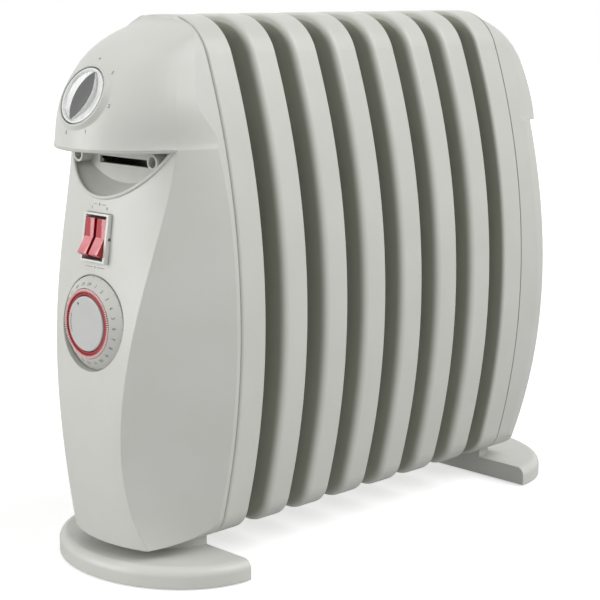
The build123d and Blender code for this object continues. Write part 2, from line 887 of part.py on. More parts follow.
with BuildPart() as pin:
    with BuildSketch(rocker_plane):
        Circle(pin_radius)
    extrude(amount=switch_width / 2, both=True)
save(pin.part, "rocker_pin")


def rocker(side):
    end = sqrt(rocker_radius ** 2 - rocker_end_height ** 2)
    heel = rocker_radius / 2
    width = switch_inner_half - rocker_gap - rocker_parting
    with BuildPart() as paddle:
        with BuildSketch(rocker_plane.offset(side * (rocker_parting + width / 2))):
            with BuildLine():
                Polyline((-end, rocker_end_height), (0, rocker_crown), (end, rocker_end_height))
                ThreePointArc((end, rocker_end_height), (rocker_radius, 0), (end, -rocker_end_height))
                Polyline(
                    (end, -rocker_end_height), (heel, -rocker_keel),
                    (-heel, -rocker_keel), (-end, -rocker_end_height),
                )
                ThreePointArc((-end, -rocker_end_height), (-rocker_radius, 0), (-end, rocker_end_height))
            make_face()
            Circle(pin_radius + run_clearance, mode=Mode.SUBTRACT)
        extrude(amount=width / 2, both=True)
    return paddle.part


save(rocker(-1), "rocker_left")
save(rocker(1), "rocker_right")

with BuildPart() as blades:
    with BuildSketch(switch_back):
        with GridLocations(switch_width / 2, switch_length / 3, 2, 3):
            Rectangle(blade_width, blade_thickness)
    extrude(amount=-blade_length)
save(blades.part, "switch_terminals")

lamp_center = bezel_thickness - switch_depth + lamp_radius
with BuildPart() as lamps:
    for side in (1, -1):
        place = switch_face.offset(lamp_center).origin + Vector(side * switch_inner_half / 2, 0, 0)
        with BuildSketch(Plane(place, x_dir=(1, 0, 0), z_dir=switch_face.y_dir)):
            Circle(lamp_radius)
        extrude(amount=lamp_length / 2, both=True)
save(lamps.part, "neon_lamps")

# Mechanical timer: case, dial with its tabs, drive pinion and motor
timer_axis = Axis(timer_face.origin, timer_face.z_dir)
timer_section = Plane(timer_face.origin, x_dir=(1, 0, 0), z_dir=Vector(1, 0, 0).cross(timer_face.z_dir))
dial_back = moving_gap - timer_pocket_depth
dial_floor = dial_back + dial_web
ring_outer = tab_inner_radius - moving_gap
groove_outer = tab_inner_radius + tab_length + moving_gap
case_front = -timer_pocket_depth - timer_seat_wall
gear_front = case_front - 2 * moving_gap
case_floor = gear_front - gear_face - 2 * moving_gap
cap_back = dial_floor + moving_gap
pinion_drop = gear_radius + pinion_radius


def gear(teeth, start):
    # straight flanked teeth on a root disc, with room for backlash
    radius = gear_module * teeth / 2
    root = radius - gear_dedendum * gear_module
    tip = radius + gear_addendum * gear_module
    half_tooth = (pi * gear_module / 2 - backlash) / 2
    flank = tan(radians(gear_pressure_angle))
    root_half = half_tooth + (radius - root) * flank
    tip_half = half_tooth - (tip - radius) * flank
    inside = sqrt(root ** 2 - root_half ** 2) - tooth_overlap
    with BuildSketch() as wheel:
        Circle(root)
        with PolarLocations(0, teeth, start_angle=start):
            Polygon(
                (inside, -root_half), (tip, -tip_half), (tip, tip_half), (inside, root_half), align=None
            )
    return wheel.sketch


with BuildPart() as dial:
    with BuildSketch(timer_section):
        Polygon(
            (hub_radius + run_clearance, dial_back),
            (timer_radius, dial_back),
            (timer_radius, dial_rim_height),
            (groove_outer, dial_crown_height),
            (groove_outer, dial_floor),
            (hub_radius + run_clearance, dial_floor),
            align=None,
        )
    revolve(axis=timer_axis)
    with BuildSketch(timer_face.offset(dial_back)):
        Circle(hub_radius + gear_bore_wall)
        Circle(hub_radius + run_clearance, mode=Mode.SUBTRACT)
    extrude(amount=gear_front - dial_back)
    with BuildSketch(timer_face.offset(gear_front)):
        add(gear(gear_teeth, 0))
        Circle(hub_radius + run_clearance, mode=Mode.SUBTRACT)
    extrude(amount=-gear_face)
save(dial.part, "timer_dial")

with BuildPart() as ring:
    with BuildSketch(timer_face.offset(dial_floor)):
        Circle(ring_outer)
        Circle(ring_outer - ring_width, mode=Mode.SUBTRACT)
    extrude(amount=dial_crown_height - dial_floor)
save(ring.part, "timer_ring")

tabs_per_group = tab_count // tab_groups
tab_step = 360 / tab_count
for group in range(tab_groups):
    with BuildPart() as tabs:
        with BuildSketch(timer_face.offset(dial_crown_height + tab_proud - tab_height)):
            start = group * tabs_per_group * tab_step
            span = tabs_per_group * tab_step
            with PolarLocations(tab_inner_radius + tab_length / 2, tabs_per_group, start, span):
                Rectangle(tab_length, tab_width)
        extrude(amount=tab_height)
    save(tabs.part, "timer_tabs_" + str(group + 1))

with BuildPart() as cap:
    with BuildSketch(timer_face.offset(cap_back)):
        Circle(ring_outer - ring_width - 2 * moving_gap)
    extrude(amount=cap_rise - cap_back)
    fillet(cap.faces().sort_by(timer_axis)[-1].edges(), cap_round)
save(cap.part, "timer_center")

with BuildPart() as case:
    with BuildSketch(timer_face.offset(case_front)):
        Circle(timer_case_radius)
    extrude(amount=-timer_case_depth)
    with BuildSketch(timer_face.offset(case_front)):
        Circle(timer_case_radius - timer_case_wall)
    extrude(amount=case_floor - case_front, mode=Mode.SUBTRACT)
    with BuildSketch(timer_face.offset(case_floor - timer_case_wall)):
        Circle(timer_case_radius - timer_case_wall)
    extrude(amount=-timer_case_depth, mode=Mode.SUBTRACT)
    with BuildSketch(timer_face.offset(case_floor)):
        Circle(hub_radius)
    extrude(amount=cap_back - case_floor)
    with BuildSketch(timer_face.offset(case_floor)):
        with Locations((0, -pinion_drop)):
            Circle(arbor_radius + run_clearance)
    extrude(amount=-timer_case_wall, mode=Mode.SUBTRACT)
save(case.part, "timer_case")

motor_front = case_floor - timer_case_wall
with BuildPart() as pinion:
    with BuildSketch(timer_face.offset(gear_front)):
        with Locations((0, -pinion_drop)):
            add(gear(pinion_teeth, 180 / pinion_teeth))
    extrude(amount=-gear_face)
    with BuildSketch(timer_face.offset(gear_front)):
        with Locations((0, -pinion_drop)):
            Circle(arbor_radius)
    extrude(amount=motor_front - motor_length / 2 - gear_front)
save(pinion.part, "timer_pinion")

with BuildPart() as motor:
    with BuildSketch(timer_face.offset(motor_front)):
        with Locations((0, -motor_offset)):
            Circle(motor_radius)
    extrude(amount=-motor_length)
    with BuildSketch(timer_face.offset(motor_front)):
        with Locations((0, -pinion_drop)):
            Circle(arbor_radius + run_clearance)
    extrude(amount=-motor_length / 2 - moving_gap, mode=Mode.SUBTRACT)
save(motor.part, "timer_motor")

with BuildPart() as contacts:
    with BuildSketch(timer_face.offset(motor_front)):
        with Locations((0, motor_radius - motor_offset + contact_size / 2 + boss_margin)):
            Rectangle(2 * contact_size, contact_size)
    extrude(amount=-contact_size)
save(contacts.part, "timer_contacts")

# Heating elements in the lower gallery
neck_front = pack_half + neck_length
plug_back = neck_front + gasket_thickness
plug_front = plug_back + plug_flange + plug_head
leg_places = []
for side in (1, -1):
    leg_places.append((side * element_spread, lower_gallery_height + element_spread))
    leg_places.append((side * element_spread, lower_gallery_height - element_spread))

with BuildPart() as neck:
    with BuildSketch(front_at(pack_half)):
        with Locations((0, lower_gallery_height)):
            Circle(lower_collar_radius)
            Circle(lower_collar_radius - collar_wall, mode=Mode.SUBTRACT)
    extrude(amount=neck_length)
save(neck.part, "element_neck")

with BuildPart() as gasket:
    with BuildSketch(front_at(neck_front)):
        with Locations((0, lower_gallery_height)):
            Circle(lower_collar_radius)
            Circle(lower_collar_radius - collar_wall, mode=Mode.SUBTRACT)
    extrude(amount=gasket_thickness)
save(gasket.part, "element_gasket")

with BuildPart() as plug:
    with BuildSketch(front_at(plug_back)):
        with Locations((0, lower_gallery_height)):
            Circle(lower_collar_radius)
    extrude(amount=plug_flange)
    with BuildSketch(front_at(plug_back + plug_flange)):
        with Locations((0, lower_gallery_height)):
            RegularPolygon(plug_hex / 2, 6, major_radius=False)
    extrude(amount=plug_head)
    with BuildSketch(front_at(plug_back)):
        with Locations(*leg_places):
            Circle(element_radius + screw_clearance)
    extrude(amount=plug_flange + plug_head, mode=Mode.SUBTRACT)
save(plug.part, "element_plug")


def element(level):
    # sheathed heater bent into a hairpin, with both legs through the plug
    height = lower_gallery_height + level * element_spread
    bend = fin_fronts[-1] - element_end_gap
    tail = plug_front + element_tail
    with BuildPart() as tube:
        with BuildSketch(front_at(tail)):
            with Locations((element_spread, height), (-element_spread, height)):
                Circle(element_radius)
        extrude(amount=-(tail + bend))
        with BuildSketch(front_at(-bend)):
            with Locations((element_spread, height)):
                Circle(element_radius)
        revolve(axis=Axis((0, bend, height), (0, 0, 1)), revolution_arc=180)
    return tube.part


save(element(1), "upper_element")
save(element(-1), "lower_element")

with BuildPart() as studs:
    with BuildSketch(front_at(plug_front + element_tail)):
        with Locations(*leg_places):
            Circle(stud_radius)
    extrude(amount=stud_length)
save(studs.part, "element_studs")

# Safety cut-out and mains terminal block on the front bracket
bracket_front = pack_half + bracket_thickness
with BuildPart() as cutout:
    with BuildSketch(front_at(bracket_front)):
        with Locations((0, cutout_height)):
            Circle(cutout_radius)
    extrude(amount=cutout_thickness)
    with BuildSketch(front_at(bracket_front + cutout_thickness)):
        with Locations((0, cutout_height)):
            with GridLocations(cutout_radius, 0, 2, 1):
                Rectangle(blade_width, blade_thickness)
    extrude(amount=blade_length / 2)
save(cutout.part, "thermal_cutout")

with BuildPart() as block:
    with BuildSketch(front_at(bracket_front)):
        with Locations((0, block_height)):
            Rectangle(block_width, block_tall)
    extrude(amount=block_depth)
    with BuildSketch(front_at(bracket_front + block_depth)):
        with Locations((0, block_height)):
            with GridLocations(block_width / 3, 0, 3, 1):
                Circle(screw_head_radius)
    extrude(amount=-block_depth / 2, mode=Mode.SUBTRACT)
save(block.part, "terminal_block")
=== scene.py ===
import bpy
import bmesh
import json
from math import asin, atan2, cos, pi, radians, sin
from mathutils import Matrix, Vector
from mathutils.bvhtree import BVHTree

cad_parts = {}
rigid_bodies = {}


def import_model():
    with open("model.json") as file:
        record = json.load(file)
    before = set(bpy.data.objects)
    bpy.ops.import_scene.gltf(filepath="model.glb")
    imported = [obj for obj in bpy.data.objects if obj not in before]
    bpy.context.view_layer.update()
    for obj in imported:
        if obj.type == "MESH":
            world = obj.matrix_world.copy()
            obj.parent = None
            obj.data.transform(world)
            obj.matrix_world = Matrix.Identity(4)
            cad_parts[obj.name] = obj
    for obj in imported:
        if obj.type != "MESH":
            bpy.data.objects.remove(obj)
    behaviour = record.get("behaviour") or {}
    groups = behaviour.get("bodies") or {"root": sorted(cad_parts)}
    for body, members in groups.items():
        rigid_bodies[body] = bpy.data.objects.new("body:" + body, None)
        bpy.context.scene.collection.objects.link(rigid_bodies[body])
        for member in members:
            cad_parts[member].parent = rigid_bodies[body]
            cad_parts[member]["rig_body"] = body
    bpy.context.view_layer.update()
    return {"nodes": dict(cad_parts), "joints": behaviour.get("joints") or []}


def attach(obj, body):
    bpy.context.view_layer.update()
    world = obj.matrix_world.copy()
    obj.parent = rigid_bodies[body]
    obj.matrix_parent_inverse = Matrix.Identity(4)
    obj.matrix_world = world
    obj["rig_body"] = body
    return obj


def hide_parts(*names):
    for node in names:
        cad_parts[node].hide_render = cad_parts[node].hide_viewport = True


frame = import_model()
nodes = frame["nodes"]
joints = {joint["name"]: joint for joint in frame["joints"]}
scene = bpy.context.scene
scene.view_settings.view_transform = "Standard"
print("loaded", len(nodes), "solid nodes")

# tools for shader nodes

white = (1.0, 1.0, 1.0, 1.0)
noiseSpan = (0.3, 0.7)  # most of a noise's values lie between these
mixSockets = {"share": 0, "first": 6, "second": 7, "colour": 2}  # a Mix node's colour sockets


def rangeOn(tree, value, before, after=(0.0, 1.0)):  # maps one range of values to another
    mapped = tree.nodes.new("ShaderNodeMapRange")
    for socket, limit in zip(("From Min", "From Max", "To Min", "To Max"), (*before, *after)):
        mapped.inputs[socket].default_value = limit
    tree.links.new(value, mapped.inputs["Value"])
    return mapped.outputs["Result"]


def noiseOn(tree, place, scale, detail=2.0):
    noise = tree.nodes.new("ShaderNodeTexNoise")
    noise.inputs["Scale"].default_value = scale
    noise.inputs["Detail"].default_value = detail
    tree.links.new(place, noise.inputs["Vector"])
    return noise.outputs["Fac"]


def rampOn(tree, value, low, high, span=noiseSpan):
    ramp = tree.nodes.new("ShaderNodeValToRGB")
    for element, position, tone in zip(ramp.color_ramp.elements, span, (low, high)):
        element.position = position
        element.color = (*tone, 1.0)
    tree.links.new(value, ramp.inputs["Fac"])
    return ramp.outputs["Color"]


def bumpOn(tree, value, shader, strength, depth, edge=0.0):
    bump = tree.nodes.new("ShaderNodeBump")
    if edge:  # softens the light on sharp edges
        softEdge = tree.nodes.new("ShaderNodeBevel")
        softEdge.samples = 4
        softEdge.inputs["Radius"].default_value = edge
        tree.links.new(softEdge.outputs["Normal"], bump.inputs["Normal"])
    bump.inputs["Strength"].default_value = strength
    bump.inputs["Distance"].default_value = depth
    tree.links.new(value, bump.inputs["Height"])
    tree.links.new(bump.outputs["Normal"], shader.inputs["Normal"])


# camera, light and floor

view = {
    "place": (0.7954, -0.8026, 0.3734), "target": (-0.014, -0.0033, 0.1519),
    "lens": 95.88, "sensor": 36.0,
}
studio = {
    "ambient": 0.42,
    "suns": {  # towards the lamp, spread in degrees, strength
        "keySun": ((-0.46, -0.85, 0.25), 45.0, 2.1),
        "sideSun": ((0.62, 0.34, 0.70), 50.0, 2.05),
    },
    "floorHalf": 6.0,
    "floorTone": 0.62,
    "floorRough": 0.9,
    "floorGlow": 0.62,  # only for the camera, so the floor is white beyond the shadow
}


def addCamera():
    cameraData = bpy.data.cameras.new("photoCamera")
    cameraData.lens = view["lens"]
    cameraData.sensor_width = view["sensor"]
    cameraObject = bpy.data.objects.new("photoCamera", cameraData)
    cameraObject.location = view["place"]
    aim = Vector(view["target"]) - Vector(view["place"])
    cameraObject.rotation_euler = aim.to_track_quat("-Z", "Y").to_euler()
    scene.collection.objects.link(cameraObject)
    scene.camera = cameraObject


def addSun(name, towards, spread, strength):
    sun = bpy.data.lights.new(name, "SUN")
    sun.angle = radians(spread)
    sun.energy = strength
    sunObject = bpy.data.objects.new(name, sun)
    sunObject.rotation_euler = Vector(towards).to_track_quat("Z", "Y").to_euler()
    scene.collection.objects.link(sunObject)


def addWorld():  # white where it is seen or reflected, dimmer as light
    world = bpy.data.worlds.new("studioWorld")
    scene.world = world
    world.use_nodes = True
    tree = world.node_tree
    background = tree.nodes["Background"]
    background.inputs["Color"].default_value = white
    path = tree.nodes.new("ShaderNodeLightPath")
    seen = path.outputs["Is Camera Ray"]
    for ray in ("Is Glossy Ray", "Is Transmission Ray"):
        either = tree.nodes.new("ShaderNodeMath")
        either.operation = "MAXIMUM"
        tree.links.new(seen, either.inputs[0])
        tree.links.new(path.outputs[ray], either.inputs[1])
        seen = either.outputs[0]
    strength = rangeOn(tree, seen, (0.0, 1.0), (studio["ambient"], 1.0))
    tree.links.new(strength, background.inputs["Strength"])


def addFloor():
    floorMesh = bpy.data.meshes.new("studioFloor")
    bm = bmesh.new()
    bmesh.ops.create_grid(bm, x_segments=1, y_segments=1, size=studio["floorHalf"])
    bm.to_mesh(floorMesh)
    bm.free()
    floorObject = bpy.data.objects.new("studioFloor", floorMesh)
    scene.collection.objects.link(floorObject)
    paper = bpy.data.materials.new("floorPaper")
    paper.use_nodes = True
    tree = paper.node_tree
    shader = tree.nodes["Principled BSDF"]
    shader.inputs["Base Color"].default_value = (*[studio["floorTone"]] * 3, 1.0)
    shader.inputs["Roughness"].default_value = studio["floorRough"]
    shader.inputs["Specular IOR Level"].default_value = 0.0
    shader.inputs["Emission Color"].default_value = white
    path = tree.nodes.new("ShaderNodeLightPath")
    glow = rangeOn(tree, path.outputs["Is Camera Ray"], (0.0, 1.0), (0.0, studio["floorGlow"]))
    tree.links.new(glow, shader.inputs["Emission Strength"])
    floorMesh.materials.append(paper)


addCamera()
for sunName, (sunTowards, sunSpread, sunStrength) in studio["suns"].items():
    addSun(sunName, sunTowards, sunSpread, sunStrength)
addWorld()
addFloor()
print("camera, lamps and floor are set")

# places on the part


def placeOn(origin, out):  # x to the right, y up the face, z out of it
    right = Vector((1.0, 0.0, 0.0))
    turn = Matrix((right, out.cross(right), out)).transposed().to_4x4()
    return Matrix.Translation(origin) @ turn


def jointPlace(name):
    return placeOn(Vector(joints[name]["pos_m"]), Vector(joints[name]["axis"]).normalized())


# kinds of finish

# mottle and sheen are a noise's scale and detail
plasticGrain = {"mottle": (28.0, 4.0), "sheen": (160.0, 3.0), "strength": 0.25}
metalGrain = {
    "mottle": (90.0, 4.0), "sheen": (400.0, 4.0), "detail": 3.0, "strength": 0.2, "depth": 0.0001,
}
clearGrain = {
    "mottle": (60.0, 3.0), "grain": 900.0, "strength": 0.1, "depth": 0.0001,
    "index": 1.49, "coat": 0.3,
}


def newFinish(name, roughness):
    finish = bpy.data.materials.new(name)
    finish.use_nodes = True
    tree = finish.node_tree
    shader = tree.nodes["Principled BSDF"]
    shader.inputs["Roughness"].default_value = roughness
    coordinates = tree.nodes.new("ShaderNodeTexCoord")
    return finish, tree, shader, coordinates.outputs["Object"]


def mottledFinish(name, tone, darker, rough, kind):  # uneven in colour and gloss
    finish, tree, shader, place = newFinish(name, rough[0])
    mottle = noiseOn(tree, place, *kind["mottle"])
    sheen = noiseOn(tree, place, *kind["sheen"])
    tree.links.new(rampOn(tree, mottle, darker, tone), shader.inputs["Base Color"])
    tree.links.new(rangeOn(tree, sheen, noiseSpan, rough), shader.inputs["Roughness"])
    return finish, tree, shader, place


def mouldedPlastic(name, tone, darker, rough, grain, grainDepth, edge=0.0):
    finish, tree, shader, place = mottledFinish(name, tone, darker, rough, plasticGrain)
    bumpOn(tree, noiseOn(tree, place, grain), shader, plasticGrain["strength"], grainDepth, edge)
    return finish


def metalFinish(name, tone, darker, rough, scratch):
    finish, tree, shader, place = mottledFinish(name, tone, darker, rough, metalGrain)
    shader.inputs["Metallic"].default_value = 1.0
    scratches = noiseOn(tree, place, scratch, metalGrain["detail"])
    bumpOn(tree, scratches, shader, metalGrain["strength"], metalGrain["depth"])
    return finish


def clearPlastic(name, tone, darker, rough, through):
    finish, tree, shader, place = newFinish(name, rough)
    shader.inputs["Transmission Weight"].default_value = through
    shader.inputs["IOR"].default_value = clearGrain["index"]
    shader.inputs["Coat Weight"].default_value = clearGrain["coat"]
    mottle = noiseOn(tree, place, *clearGrain["mottle"])
    tree.links.new(rampOn(tree, mottle, darker, tone), shader.inputs["Base Color"])
    grain = noiseOn(tree, place, clearGrain["grain"])
    bumpOn(tree, grain, shader, clearGrain["strength"], clearGrain["depth"])
    return finish


def normalAxes(tree):  # the piece's own normal, so that the painted light and shade turn with it
    axes = tree.nodes.new("ShaderNodeSeparateXYZ")
    tree.links.new(tree.nodes["Texture Coordinate"].outputs["Normal"], axes.inputs["Vector"])
    return axes.outputs


def toneOn(tree, facing, span, tone):  # painted light or shade: another tone where the surface faces one way
    shader = tree.nodes["Principled BSDF"]
    blend = tree.nodes.new("ShaderNodeMix")
    blend.data_type = "RGBA"
    base = shader.inputs["Base Color"].links[0].from_socket
    tree.links.new(rangeOn(tree, facing, span), blend.inputs[mixSockets["share"]])
    tree.links.new(base, blend.inputs[mixSockets["first"]])
    blend.inputs[mixSockets["second"]].default_value = (*tone, 1.0)
    tree.links.new(blend.outputs[mixSockets["colour"]], shader.inputs["Base Color"])


# paint of the fins, with painted shade on the webs, which face along the row into the dark gaps between the
# fins

finLook = {
    "name": "finPaint", "tone": (0.575, 0.58, 0.54), "darker": (0.55, 0.555, 0.515),
    "rough": (0.30, 0.40), "grain": 700.0, "grainDepth": 0.00012, "edge": 0.0006,
}
# painted shade: a darker tone on faces that point along the row, for the shade in the gaps between fins
webShade = {"span": (0.6, 0.95), "tone": (0.45, 0.46, 0.39)}


def finPaint():
    finish = mouldedPlastic(**finLook)
    tree = finish.node_tree
    facing = tree.nodes.new("ShaderNodeMath")
    facing.operation = "ABSOLUTE"
    tree.links.new(normalAxes(tree)["Y"], facing.inputs[0])
    # paints the shade of the gaps onto the webs
    toneOn(tree, facing.outputs[0], webShade["span"], webShade["tone"])
    return finish


# glossy red of the rockers, with a painted highlight where it faces up and painted shade on the right

rockerLook = {
    "name": "rockerRed", "tone": (0.46, 0.012, 0.026), "darker": (0.38, 0.009, 0.02),
    "rough": 0.16, "through": 0.05,
}
rockerLightAndShade = {  # painted light and shade: axis that the surface faces: span of the change, tone
    # painted highlight on faces turned up
    "Z": ((0.30, 0.50), (0.74, 0.25, 0.27)),
    # painted shade on faces turned to the right
    "X": ((0.4, 0.9), (0.36, 0.008, 0.014)),
}


def rockerFinish():
    finish = clearPlastic(**rockerLook)
    tree = finish.node_tree
    axes = normalAxes(tree)
    for axis, (span, tone) in rockerLightAndShade.items():
        # paints the highlight and the shade by the way each face turns
        toneOn(tree, axes[axis], span, tone)
    return finish


# timer's tabs: dark red at the inner end of each, pale at the outer

tabLook = {
    "rough": 0.32, "reach": (0.0196, 0.0224), "span": (0.12, 0.6),
    "inner": (0.42, 0.025, 0.04), "outer": (0.80, 0.58, 0.56),
    "grain": 2200.0, "grainStrength": 0.2, "grainDepth": 0.00004,
}


def tabFinish(centre):
    finish, tree, shader, place = newFinish("tabRed", tabLook["rough"])
    mapping = tree.nodes.new("ShaderNodeMapping")
    mapping.vector_type = "TEXTURE"
    mapping.inputs["Location"].default_value = centre.to_translation()
    mapping.inputs["Rotation"].default_value = centre.to_euler()
    flat = tree.nodes.new("ShaderNodeVectorMath")
    flat.operation = "MULTIPLY"
    flat.inputs[1].default_value = (1.0, 1.0, 0.0)
    reach = tree.nodes.new("ShaderNodeVectorMath")
    reach.operation = "LENGTH"
    tree.links.new(place, mapping.inputs["Vector"])
    tree.links.new(mapping.outputs["Vector"], flat.inputs[0])
    tree.links.new(flat.outputs["Vector"], reach.inputs[0])
    share = rangeOn(tree, reach.outputs["Value"], tabLook["reach"])
    red = rampOn(tree, share, tabLook["inner"], tabLook["outer"], tabLook["span"])
    tree.links.new(red, shader.inputs["Base Color"])
    grain = noiseOn(tree, place, tabLook["grain"])
    bumpOn(tree, grain, shader, tabLook["grainStrength"], tabLook["grainDepth"])
    return finish


# finishes on the solids

plasticLooks = {
    "cover_plastic": {
        "name": "coverPlastic", "tone": (0.57, 0.575, 0.54), "darker": (0.545, 0.55, 0.512),
        "rough": (0.34, 0.42), "grain": 2600.0, "grainDepth": 0.00005, "edge": 0.0011,
    },
    "rubber": {
        "name": "padRubber", "tone": (0.045, 0.045, 0.045), "darker": (0.03, 0.03, 0.03),
        "rough": (0.75, 0.9), "grain": 1800.0, "grainDepth": 0.0001,
    },
    "knob_silver": {
        "name": "knobSilver", "tone": (0.62, 0.63, 0.62), "darker": (0.56, 0.57, 0.56),
        "rough": (0.25, 0.34), "grain": 2600.0, "grainDepth": 0.00004,
    },
    "knob_grey": {
        "name": "knobGrey", "tone": (0.095, 0.098, 0.094), "darker": (0.07, 0.073, 0.07),
        "rough": (0.4, 0.5), "grain": 2600.0, "grainDepth": 0.00005,
    },
    "control_plastic": {
        "name": "controlPlastic", "tone": (0.70, 0.69, 0.66), "darker": (0.66, 0.65, 0.62),
        "rough": (0.4, 0.5), "grain": 2200.0, "grainDepth": 0.00005,
    },
    "switch_white": {
        "name": "switchWhite", "tone": (0.66, 0.66, 0.63), "darker": (0.63, 0.63, 0.60),
        "rough": (0.26, 0.34), "grain": 2600.0, "grainDepth": 0.00004, "edge": 0.0005,
    },
    "dial_white": {
        "name": "dialWhite", "tone": (0.56, 0.56, 0.53), "darker": (0.535, 0.535, 0.505),
        "rough": (0.3, 0.38), "grain": 2600.0, "grainDepth": 0.00004, "edge": 0.0005,
    },
    "dial_grey": {
        "name": "dialGrey", "tone": (0.50, 0.505, 0.49), "darker": (0.475, 0.48, 0.465),
        "rough": (0.34, 0.42), "grain": 2600.0, "grainDepth": 0.00004,
    },
}
metalLooks = {
    "zinc_steel": {
        "name": "zincSteel", "tone": (0.62, 0.62, 0.60), "darker": (0.50, 0.50, 0.48),
        "rough": (0.32, 0.48), "scratch": 1400.0,
    },
    "brass": {
        "name": "brass", "tone": (0.78, 0.60, 0.30), "darker": (0.66, 0.48, 0.22),
        "rough": (0.26, 0.42), "scratch": 1500.0,
    },
    "element_steel": {
        "name": "elementSteel", "tone": (0.42, 0.40, 0.38), "darker": (0.30, 0.28, 0.26),
        "rough": (0.36, 0.55), "scratch": 1200.0,
    },
    "motor_can": {
        "name": "motorCan", "tone": (0.60, 0.59, 0.55), "darker": (0.50, 0.49, 0.46),
        "rough": (0.3, 0.45), "scratch": 1600.0,
    },
}
lampLook = {
    "name": "lampGlass", "tone": (0.95, 0.72, 0.55), "darker": (0.9, 0.64, 0.46),
    "rough": 0.08, "through": 0.85,
}
ringLook = {
    "name": "ringRed", "tone": (0.42, 0.02, 0.03), "darker": (0.34, 0.015, 0.02),
    "rough": (0.3, 0.4), "grain": 2200.0, "grainDepth": 0.00004,
}
pinLook = {
    "name": "darkPin", "tone": (0.10, 0.03, 0.03), "darker": (0.06, 0.02, 0.02),
    "rough": (0.5, 0.6), "scratch": 1400.0,
}

finishes = {slot: mouldedPlastic(**look) for slot, look in plasticLooks.items()}
finishes.update({slot: metalFinish(**look) for slot, look in metalLooks.items()})
finishes["lamp_glass"] = clearPlastic(**lampLook)
finishes["fin_paint"] = finPaint()
finishes["rocker_red"] = rockerFinish()
finishes["tab_red"] = tabFinish(jointPlace("timer_turn"))
for nodeObject in nodes.values():
    for materialSlot in nodeObject.material_slots:
        materialSlot.material = finishes[materialSlot.material.name.split(".")[0]]
nodes["timer_ring"].material_slots[0].material = mouldedPlastic(**ringLook)
nodes["rocker_pin"].material_slots[0].material = metalFinish(**pinLook)
print("finishes on", len(nodes), "nodes")

# tools for the finer pieces

mergeGap = 0.00001
printing = {
    "half": 0.00004,  # half of the ink's thickness
    "lift": 0.00005,
    "smooth": 3,
    "above": 0.02,  # where the rays down to the cover start
}
inkLook = {
    "name": "printInk", "tone": (0.13, 0.13, 0.125), "darker": (0.10, 0.10, 0.095),
    "rough": (0.5, 0.6), "grain": 3000.0, "grainDepth": 0.00002,
}
printInk = mouldedPlastic(**inkLook)
coverBm = bmesh.new()
coverBm.from_mesh(nodes["front_cover"].data)
bmesh.ops.remove_doubles(coverBm, verts=coverBm.verts, dist=mergeGap)
coverTree = BVHTree.FromBMesh(coverBm)


def addPiece(bm, name, body, finish, sharp=35.0):
    bmesh.ops.recalc_face_normals(bm, faces=bm.faces)
    for edge in bm.edges:
        edge.smooth = edge.calc_face_angle(0.0) < radians(sharp)
    for face in bm.faces:
        face.smooth = True
    mesh = bpy.data.meshes.new(name)
    bm.to_mesh(mesh)
    bm.free()
    mesh.materials.append(finish)
    piece = bpy.data.objects.new(name, mesh)
    scene.collection.objects.link(piece)
    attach(piece, body)
    return piece


def asMesh(data, name):  # a curve or words made a mesh
    holder = bpy.data.objects.new(name, data)
    scene.collection.objects.link(holder)
    bpy.context.view_layer.update()
    mesh = bpy.data.meshes.new_from_object(holder.evaluated_get(bpy.context.evaluated_depsgraph_get()))
    bpy.data.objects.remove(holder)
    bpy.data.curves.remove(data)
    return mesh


def takeMesh(bm, mesh):  # adds a mesh to a piece and drops it
    bm.from_mesh(mesh)
    bpy.data.meshes.remove(mesh)


def addWords(bm, text, size, place):
    words = bpy.data.curves.new("words", "FONT")
    words.body = text
    words.size = size
    words.align_x = "CENTER"
    words.align_y = "CENTER"
    words.extrude = printing["half"]
    words.resolution_u = printing["smooth"]
    mesh = asMesh(words, "words")
    mesh.transform(place)
    takeMesh(bm, mesh)


def addBar(bm, width, height, place):  # thin printed bar
    made = bmesh.ops.create_cube(bm, size=1.0)["verts"]
    bmesh.ops.scale(bm, verts=made, vec=(width, height, 2 * printing["half"]))
    bmesh.ops.transform(bm, verts=made, matrix=place)


def addSpot(bm, radius, sides, place):  # thin printed dot or arrow head
    made = bmesh.ops.create_cone(
        bm, cap_ends=True, segments=sides, radius1=radius, radius2=radius, depth=2 * printing["half"]
    )["verts"]
    bmesh.ops.transform(bm, verts=made, matrix=place)


def layOnCover(bm, place):  # lets a flat print down on the front cover
    out = (place.to_3x3() @ Vector((0.0, 0.0, 1.0))).normalized()
    for vert in bm.verts:
        start = place @ Vector((vert.co.x, vert.co.y, printing["above"]))
        hit = coverTree.ray_cast(start, -out)[0]
        vert.co = hit + out * (vert.co.z + printing["lift"])


def roundEdges(bm, edges, width):
    bmesh.ops.bevel(
        bm, geom=edges, offset=width, offset_type="OFFSET", affect="EDGES", segments=3,
        profile=0.5, material=-1, clamp_overlap=True,
    )


# rounded lip of the visor and bead round the hand recess

coverTrim = {
    "lipHeight": 0.277, "lipRadius": 0.0018, "lipHalf": 0.0535,
    "rimRadius": 0.0013, "rimLow": 0.236, "rimBelowLip": 0.0006, "rimReach": 0.1758,
    "boss": (0.0374, 0.269), "bossRadius": 0.0062,
    "faceTurn": 0.5, "floorTurn": 0.3,  # parts of a normal that tell the panel's face and the recess's floor
    "step": 0.002, "level": 0.0001, "sharp": 20.0, "smooth": 4,
}


def sharpEdge(edge):
    turned = edge.calc_face_angle(0.0) > radians(coverTrim["sharp"])
    return len(edge.link_faces) == 2 and edge.is_convex and turned


def lipPoints():
    places = set()
    for edge in coverBm.edges:
        level = [abs(vert.co.z - coverTrim["lipHeight"]) < coverTrim["level"] for vert in edge.verts]
        if all(level) and sharpEdge(edge) and abs(edge.verts[0].co.x) < coverTrim["lipHalf"]:
            places.update(tuple(vert.co) for vert in edge.verts)
    return sorted(places)


